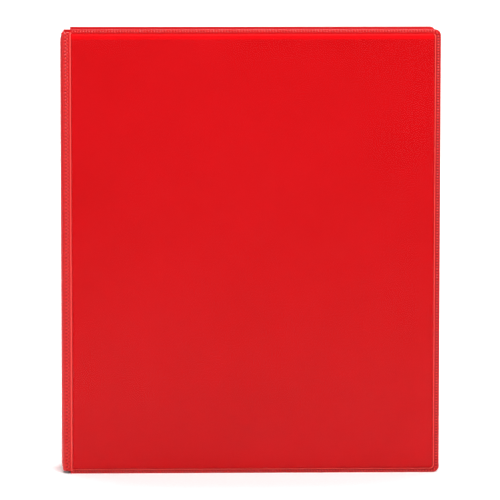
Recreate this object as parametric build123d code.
from build123d import *

import math
import os

# Trading card binder, millimetres, +Z up. It stands closed on its bottom edges: front cover towards -Y,
# spine at -X, back cover towards +Y. The origin is the middle of its footprint.

# ---- driving dimensions: the case -------------------------------------------------------------------
case_width = 270.0  # outside of the spine to the free edge
case_height = 317.0
case_thickness = 50.0  # outside of the front cover to the outside of the back cover
board = 2.4  # grey board in each panel
vinyl = 0.4  # one coloured sheet, outside or lining
film = 0.2  # clear overlay, pocket and page film
insert_gap = 0.3  # room for a printed insert under each overlay
free_band = 4.6  # welded band beyond the board at the free edge
end_band = 3.3  # welded band beyond the board at the top and the bottom
hinge_band = 8.2  # outside of the spine to the raised panel of a cover
corner_radius = 4.5  # outer corners of the covers
panel_radius = 2.0  # corners of the boards
spine_setback = 1.8  # the spine and the hinge strips stop short of the covers' ends by this
spine_fold = 2.0  # fold line of a hinge to the edge of the spine board
fold_gap = 0.5  # fold line to the start of the strip on a cover
overlay_drop = 7.0  # the overlay's open top edge, below the cover's top edge
overlay_edge = 0.3  # the overlay's welded edge, inside the band's edge
overlay_lap = 1.0  # how far the overlay laps on to the hinge strip

# ---- driving dimensions: inside pockets -------------------------------------------------------------
pocket_depth = 125.0
pocket_weld = 1.5
pocket_margin = 3.0  # pocket to the edges of the lining's raised panel
pocket_from_rings = 6.7  # outside of the rings to the back pocket

# ---- driving dimensions: ring mechanism -------------------------------------------------------------
ring_pitch = 108.0
ring_count = 3
wire = 3.6
ring_base = 4.0  # lowest point of the rings' centre line above the back lining
ring_top_clear = 5.8  # closed rings to the front lining
ring_swing_room = 5.0  # closed rings to the spine's lining
tip_gap = 0.1  # between the closed tips of two half rings
shank_place = 5.3  # riveted ends from the housing's middle
shank = 2.8  # riveted end of a half ring
housing_end_room = 16.0  # housing's ends inside the covers' ends
housing_width = 24.0
housing_height = 6.8
housing_shoulder = 4.2  # straight side below the arch
housing_sheet = 0.8
housing_lip = 1.8  # side edges turned in under the blades
ring_slot_inner = 2.8  # slots for the wires in the arch, from the centre line
ring_slot_outer = 10.8
ring_slot_clear = 0.7
blade_sheet = 1.2
blade_pivot_height = 3.4
blade_side_gap = 0.3  # a blade's outer edge from the housing's side
blade_middle_gap = 0.2  # half the gap between the two blades
blade_tilt = 6.0  # degrees, middle down when closed
blade_end = 3.0  # blades stop this far inside the lever pin
post_diameter = 6.0
post_inset = 12.0  # posts inside the ring housing's ends
post_clear = 0.9  # between a post and the blades
rivet_shank = 4.0
rivet_head = 9.0
rivet_head_height = 0.9
rivet_flare = 6.6
rivet_flare_height = 0.7

# ---- driving dimensions: levers ---------------------------------------------------------------------
lever_width = 12.0
lever_sheet = 1.4
lever_hub_wall = 1.0
lever_pin = 2.4
pin_clear = 0.05  # radial, lever on its pin
lever_pin_height = 3.2
lever_pin_inset = 2.0  # pin inside the housing's end
lever_arm_gap = 0.6  # arm outside the housing's end
lever_arm_foot = 2.4  # lowest point of the arm above the lining
lever_top = 17.0
lever_lip = 4.0  # thumb lip, outwards
lever_lip_round = 0.56
toe_length = 5.5
toe_width = 3.0
toe_sheet = 1.0
toe_height = 0.3  # underside of the toe above the lining

# ---- driving dimensions: card pages -----------------------------------------------------------------
page_count = 4
page_width = 232.0
page_end_room = 15.5  # pages' ends inside the covers' ends
page_pitch = 2.5
page_corner = 4.0
hole_play = 2.45  # radial, a hole round a wire
hole_rest_gap = 0.35  # left of that on the side where the page hangs
hole_margin = 9.5  # a hole's centre from the page's edge
pocket_rows = 3
pocket_columns = 3
pocket_room = 0.5  # between the two films
pocket_left = 27.5  # binding strip
pocket_right = 2.5
pocket_end = 3.0
pocket_mouth = 4.0  # open gap above each row
page_weld = 1.2

# ---- places worked out from them --------------------------------------------------------------------
panel_half = board / 2 + vinyl  # half the thickness of a vinyl-covered board
outer_layers = panel_half + insert_gap + film
cover_mid = case_thickness / 2 - outer_layers  # |y| of a cover's middle plane
spine_mid = -(case_width / 2 - outer_layers)  # x of the spine's middle plane
middle = case_height / 2

board_left = -case_width / 2 + hinge_band + vinyl
board_right = case_width / 2 - free_band - vinyl
board_bottom = end_band + vinyl
board_top = case_height - end_band - vinyl

housing_length = case_height - 2 * housing_end_room
page_height = case_height - 2 * page_end_room
lining = cover_mid - panel_half  # y of the back lining's inner face
ring_radius = (2 * lining - ring_base - wire / 2 - ring_top_clear) / 2  # centre line
ring_height = ring_base + ring_radius  # ring centre above the back lining
ring_end_angle = 180 + math.degrees(math.acos(shank_place / ring_radius))  # from +X, through the top
ring_x = spine_mid + panel_half + ring_swing_room + wire / 2 + ring_radius
hole_radius = wire / 2 + hole_play
hole_offset = hole_play - hole_rest_gap  # a hole's centre beyond the wire it hangs on
lever_hub = lever_pin + 2 * lever_hub_wall
ring_levels = [middle + ring_pitch * (i - (ring_count - 1) / 2) for i in range(ring_count)]
post_levels = [middle + s * (housing_length / 2 - post_inset) for s in (-1, 1)]
blade_pivot = housing_width / 2 - housing_sheet - blade_side_gap - blade_sheet / 2
lever_pin_level = housing_length / 2 - lever_pin_inset

os.makedirs("parts", exist_ok=True)


def save(name, *solids):
    """Write one node from one or more separate solids."""
    flat = [s for shape in solids for s in shape.solids()]
    export_step(flat[0] if len(flat) == 1 else Compound(children=flat), f"parts/{name}.step")


def span(x0, x1, y0, y1, z0, z1):
    """A block between two corners."""
    centre = Pos((x0 + x1) / 2, (y0 + y1) / 2, (z0 + z1) / 2)
    return centre * Box(abs(x1 - x0), abs(y1 - y0), abs(z1 - z0))


# ---- the case ---------------------------------------------------------------------------------------
# A panel is drawn flat in a frame of its own: x across, z up, and depth measured outwards (towards -Y)
# from the middle plane of its board.


def layer(x0, x1, z0, z1, inner, outer, radius=0.0, corners="left right"):
    """A sheet from one depth to another, with its left or right corners rounded."""
    sheet = span(x0, x1, -inner, -outer, z0, z1)
    edges = sheet.edges().filter_by(Axis.Y)
    if "left" not in corners:
        edges = edges.filter_by(lambda e: e.center().X > (x0 + x1) / 2)
    return fillet(edges, radius) if radius else sheet


class Panel:
    """One board with its vinyl: edges of the board, and how far the welded bands reach beyond them."""

    def __init__(self, left, right, bottom, top, reach):
        self.edges = (left, right, bottom, top)
        self.reach = reach  # limits of the bands: left, right, bottom, top
        self.hinged = reach[0] == left - vinyl  # no band where a separate hinge strip joins on

    def raised(self, spread, inner, outer):
        """The board's outline, spread outwards by an amount, between two depths."""
        left, right, bottom, top = self.edges
        return layer(
            left - spread,
            right + spread,
            bottom - spread,
            top + spread,
            inner,
            outer,
            panel_radius + spread,
            "right" if self.hinged else "left right",
        )

    def band(self, radius, inner, outer):
        """The flat band, out to its limits."""
        corners = "right" if self.hinged else "left right"
        return layer(*self.reach, inner, outer, radius, corners)

    def board(self):
        return self.raised(0, -board / 2, board / 2)

    def sheet(self, radius, side):
        """The coloured vinyl on one side: over the board, down its edges and out along the band."""
        over = self.raised(vinyl, 0, side * panel_half)
        return over + self.band(radius, 0, side * vinyl) - self.board()

    def overlay(self, radius, reach, top):
        """The clear sleeve outside the vinyl, welded on three sides and open at the top."""
        inside = vinyl + insert_gap
        cover = self.raised(inside + film, vinyl, outer_layers)
        cover += layer(*reach, vinyl, vinyl + film, radius, "right" if self.hinged else "left right")
        cover -= self.raised(inside, vinyl, panel_half + insert_gap)
        left, right, _, board_end = self.edges
        under_film = panel_half + insert_gap
        mouth = span(left - inside, right + inside, -vinyl, -under_film, middle, board_end + inside)
        above = span(left - case_width, right + case_width, 0, -case_thickness, top, 2 * case_height)
        return cover - mouth - above


def pocket(left, right):
    """A film welded to the lining on three sides, open at the top."""
    bottom = board_bottom + pocket_margin
    inner = -(panel_half + film + insert_gap)
    sheet = layer(left, right, bottom, bottom + pocket_depth, -panel_half, inner)
    room = layer(
        left + pocket_weld,
        right - pocket_weld,
        bottom + pocket_weld,
        bottom + 2 * pocket_depth,
        -panel_half,
        inner + film,
    )
    return sheet - room


cover = Panel(
    board_left,
    board_right,
    board_bottom,
    board_top,
    (board_left - vinyl, case_width / 2, 0, case_height),
)
cover_overlay = cover.overlay(
    corner_radius - overlay_edge,
    (
        board_left - vinyl - insert_gap - film - overlay_lap,
        case_width / 2 - overlay_edge,
        overlay_edge,
        case_height - overlay_edge,
    ),
    case_height - overlay_drop,
)
hinge_strip = layer(
    spine_mid + fold_gap,
    board_left - vinyl,
    spine_setback,
    case_height - spine_setback,
    -vinyl,
    vinyl,
)

spine_half = cover_mid - spine_fold
spine = Panel(
    -spine_half,
    spine_half,
    spine_setback + end_band + vinyl,
    case_height - spine_setback - end_band - vinyl,
    (-cover_mid, cover_mid, spine_setback, case_height - spine_setback),
)
spine_lap = cover_mid - fold_gap - film
spine_overlay = spine.overlay(
    0,
    (
        -spine_lap,
        spine_lap,
        spine_setback + overlay_edge,
        case_height - spine_setback - overlay_edge,
    ),
    case_height - spine_setback - overlay_drop,
)


def front(shape):
    """Place a flat cover piece at the front."""
    return Pos(0, -cover_mid, 0) * shape


def back(shape):
    """Place a flat cover piece at the back, facing the other way."""
    return mirror(front(shape), about=Plane.XZ)


def side(shape):
    """Place a flat spine piece at the left, facing -X."""
    return Pos(spine_mid, 0, 0) * Rot(0, 0, -90) * shape


save("front_board", front(cover.board()))
save("front_skin", front(cover.sheet(corner_radius, 1)))
save("front_liner", front(cover.sheet(corner_radius, -1)))
save("front_overlay", front(cover_overlay))
save("front_hinge_strip", front(hinge_strip))
save("front_pocket", front(pocket(board_left + pocket_margin, board_right - pocket_margin)))

save("spine_board", side(spine.board()))
save("spine_skin", side(spine.sheet(0, 1)))
save("spine_liner", side(spine.sheet(0, -1)))
save("spine_overlay", side(spine_overlay))

# ---- ring mechanism ---------------------------------------------------------------------------------
# Its sections are drawn across the housing: u along +X from the ring centre, h off the back lining
# (towards -Y).


def section(level):
    """The drawing plane across the housing at a level."""
    return Plane(origin=(ring_x, lining, level), x_dir=(1, 0, 0), z_dir=(0, 0, -1))


def rod(diameter, level, h0, h1, u=0.0):
    """A round bar standing off the lining."""
    place = Pos(ring_x + u, lining - (h0 + h1) / 2, level) * Rot(90, 0, 0)
    return place * Cylinder(diameter / 2, h1 - h0)


def arch(inset):
    """The housing's outline, inset from its outside by a sheet's thickness or nothing."""
    half = housing_width / 2 - inset
    shoulder = housing_shoulder
    top = housing_height - inset
    outline = Line((-half, inset), (-half, shoulder))
    outline += ThreePointArc((-half, shoulder), (0, top), (half, shoulder))
    outline += Polyline((half, shoulder), (half, inset), (-half, inset))
    return make_face(outline)


def along_housing(face, length):
    """Extrude a section to a length about the middle of the housing."""
    return extrude(section(middle) * face, length / 2, both=True)


def pin_cutter(radius, end):
    """The bar on which a lever turns, across the housing at one of its ends."""
    place = Pos(ring_x, lining - lever_pin_height, middle + end * lever_pin_level) * Rot(0, 90, 0)
    return place * Cylinder(radius, housing_width - housing_sheet)


def ring_slots():
    """Slots in the arch, one for each half ring."""
    length = ring_slot_outer - ring_slot_inner
    width = wire + 2 * ring_slot_clear
    at = (ring_slot_outer + ring_slot_inner) / 2
    cut = Rot(90, 0, 0) * extrude(SlotOverall(length + ring_slot_clear, width), housing_height, both=True)
    return [Pos(ring_x + s * at, lining - housing_height, z) * cut for z in ring_levels for s in (-1, 1)]


def housing():
    """An arched steel channel with its long edges turned in."""
    mouth = housing_width - 2 * (housing_sheet + housing_lip)
    shell = along_housing(arch(0), housing_length)
    shell -= along_housing(arch(housing_sheet), 2 * housing_length)
    shell -= along_housing(Rectangle(mouth, 2 * housing_shoulder), 2 * housing_length)
    for cutter in ring_slots():
        shell -= cutter
    for end in (-1, 1):
        shell -= pin_cutter(lever_pin / 2, end)
    for z in post_levels:
        shell -= rod(rivet_shank, z, 0, 2 * housing_height)
    return shell


def shank_bar(hand, level):
    """The riveted end of a half ring, through the blade."""
    top = ring_height - math.sqrt(ring_radius**2 - shank_place**2)
    return rod(shank, level, blade_pivot_height - 2 * blade_sheet, top, hand * shank_place)


def blade(hand):
    """A toggle blade: hand is -1 on the left and 1 on the right. It rocks on its outer edge."""
    reach = blade_pivot - blade_middle_gap
    flat = Pos(reach / 2, 0) * Rectangle(reach, blade_sheet) + Circle(blade_sheet / 2)
    tilt = Pos(-blade_pivot, blade_pivot_height) * Rot(0, 0, -blade_tilt) * flat
    if hand > 0:
        tilt = mirror(tilt, about=Plane.YZ)
    plate = along_housing(tilt, 2 * (lever_pin_level - blade_end))
    for z in post_levels:
        plate -= rod(post_diameter + 2 * post_clear, z, -housing_height, 2 * housing_height)
    return plate


def half_ring(hand, level, plate):
    """A half ring from its tip at the top, round its own side, to its riveted end in the blade."""
    start = 90 + math.degrees(tip_gap / 2 / ring_radius)
    path = CenterArc((0, ring_height), ring_radius, start, ring_end_angle - start)
    if hand > 0:
        path = mirror(path, about=Plane.YZ)
    path = section(level) * path
    ends = Plane(origin=path @ 0, z_dir=path % 0)
    bar = sweep(ends * Circle(wire / 2), path=path)
    return bar + shank_bar(hand, level) - plate


for name, hand in (("left", -1), ("right", 1)):
    plate = blade(hand)
    whole = plate
    for z in ring_levels:
        plate -= shank_bar(hand, z)
    save(f"{name}_blade", plate)
    trimmed = [half_ring(hand, z, whole) + (shank_bar(hand, z) & whole) for z in ring_levels]
    save(f"{name}_half_rings", *trimmed)

save("ring_housing", housing())
save("lever_pins", *[pin_cutter(lever_pin / 2, end) for end in (-1, 1)])

crown = housing_height - housing_sheet
posts = [rod(post_diameter, z, 0, crown) - rod(rivet_shank, z, -1, housing_height) for z in post_levels]
arch_sheet = along_housing(arch(0) - arch(housing_sheet), housing_length)
save("mount_posts", *[post - arch_sheet for post in posts])


def rivet(level):
    """A rivet: head let into the board under the outer vinyl, shank through the post, flare on the arch."""
    foot = -(vinyl + board)
    bar = rod(rivet_head, level, foot, foot + rivet_head_height)
    bar += rod(rivet_shank, level, foot, housing_height + rivet_flare_height)
    flare = rod(rivet_flare, level, crown, housing_height + rivet_flare_height)
    flare -= along_housing(arch(0), housing_length)
    return bar + flare


rivets = [rivet(z) for z in post_levels]
save("mount_rivets", *rivets)


def pierced(shape):
    """A back cover layer with the rivets' places cut out."""
    for one in rivets:
        shape -= one
    return shape


save("back_board", pierced(back(cover.board())))
save("back_liner", pierced(back(cover.sheet(corner_radius, -1))))
save("back_skin", back(cover.sheet(corner_radius, 1)))
save("back_overlay", back(cover_overlay))
save("back_hinge_strip", back(hinge_strip))
rings_right = ring_x + ring_radius + wire / 2
save("back_pocket", back(pocket(rings_right + pocket_from_rings, board_right - pocket_margin)))

# ---- levers -----------------------------------------------------------------------------------------


def lever(end):
    """A lever at one end of the housing: thumb lip, arm, hub on its pin and a toe under the blades."""
    arm = lever_pin_inset + lever_arm_gap
    blocks = [
        (arm, arm + lever_sheet, lever_arm_foot, lever_top),
        (arm, arm + lever_sheet + lever_lip, lever_top - lever_sheet, lever_top),
        (0, arm + lever_sheet, lever_pin_height - lever_sheet / 2, lever_pin_height + lever_sheet / 2),
    ]
    level = middle + end * lever_pin_level
    left, right = ring_x - lever_width / 2, ring_x + lever_width / 2
    hub_place = Pos(ring_x, lining - lever_pin_height, level) * Rot(0, 90, 0)
    bar = hub_place * Cylinder(lever_hub / 2, lever_width)
    for w0, w1, h0, h1 in blocks:
        bar += span(left, right, lining - h0, lining - h1, level + end * w0, level + end * w1)
    edges = bar.edges().filter_by(Axis.X)
    outer = edges.filter_by(lambda e: lining - e.center().Y > lever_top - 1.5 * lever_sheet)
    far = outer.sort_by(lambda e: end * e.center().Z)[-2:]
    bar = fillet(far, lever_lip_round)
    toe = span(
        ring_x - toe_width / 2,
        ring_x + toe_width / 2,
        lining - toe_height,
        lining - toe_height - toe_sheet,
        level,
        level - end * toe_length,
    )
    return bar + toe - pin_cutter(lever_pin / 2 + pin_clear, end)


save("upper_lever", lever(1))
save("lower_lever", lever(-1))

# ---- card pages -------------------------------------------------------------------------------------
page_bottom = middle - page_height / 2
page_thickness = 2 * film + pocket_room


def page_film(hole_x, depth):
    """The punched backing film of one page, its back at a depth off the lining."""
    left = hole_x - hole_margin
    top = page_bottom + page_height
    sheet = span(left, left + page_width, lining - depth, lining - depth - film, page_bottom, top)
    sheet = fillet(sheet.edges().filter_by(Axis.Y), page_corner)
    for z in ring_levels:
        sheet -= Pos(hole_x, lining - depth, z) * Rot(90, 0, 0) * Cylinder(hole_radius, 4 * film)
    return sheet


def pocket_row(row, hole_x, depth):
    """One row of pockets: a film welded down its sides, between its pockets and along its bottom."""
    left = hole_x - hole_margin + pocket_left
    right = hole_x - hole_margin + page_width - pocket_right
    step = (page_height - 2 * pocket_end) / pocket_rows
    bottom = page_bottom + pocket_end + row * step
    top = bottom + step - pocket_mouth
    back_of = lining - depth - film
    sheet = span(left, right, back_of, back_of - pocket_room - film, bottom, top)
    width = (right - left) / pocket_columns
    for i in range(pocket_columns):
        x0 = left + i * width + page_weld / 2
        x1 = left + (i + 1) * width - page_weld / 2
        sheet -= span(x0, x1, back_of, back_of - pocket_room, bottom + page_weld, top)
    return sheet


for i in range(page_count):
    offset = page_pitch * ((page_count - 1) / 2 - i)
    depth = ring_height + offset - page_thickness / 2
    wire_reach = math.sqrt(ring_radius**2 - offset**2)
    hole_x = ring_x + wire_reach + hole_offset
    save(f"page_{i + 1}_film", page_film(hole_x, depth))
    save(f"page_{i + 1}_pockets", *[pocket_row(row, hole_x, depth) for row in range(pocket_rows)])
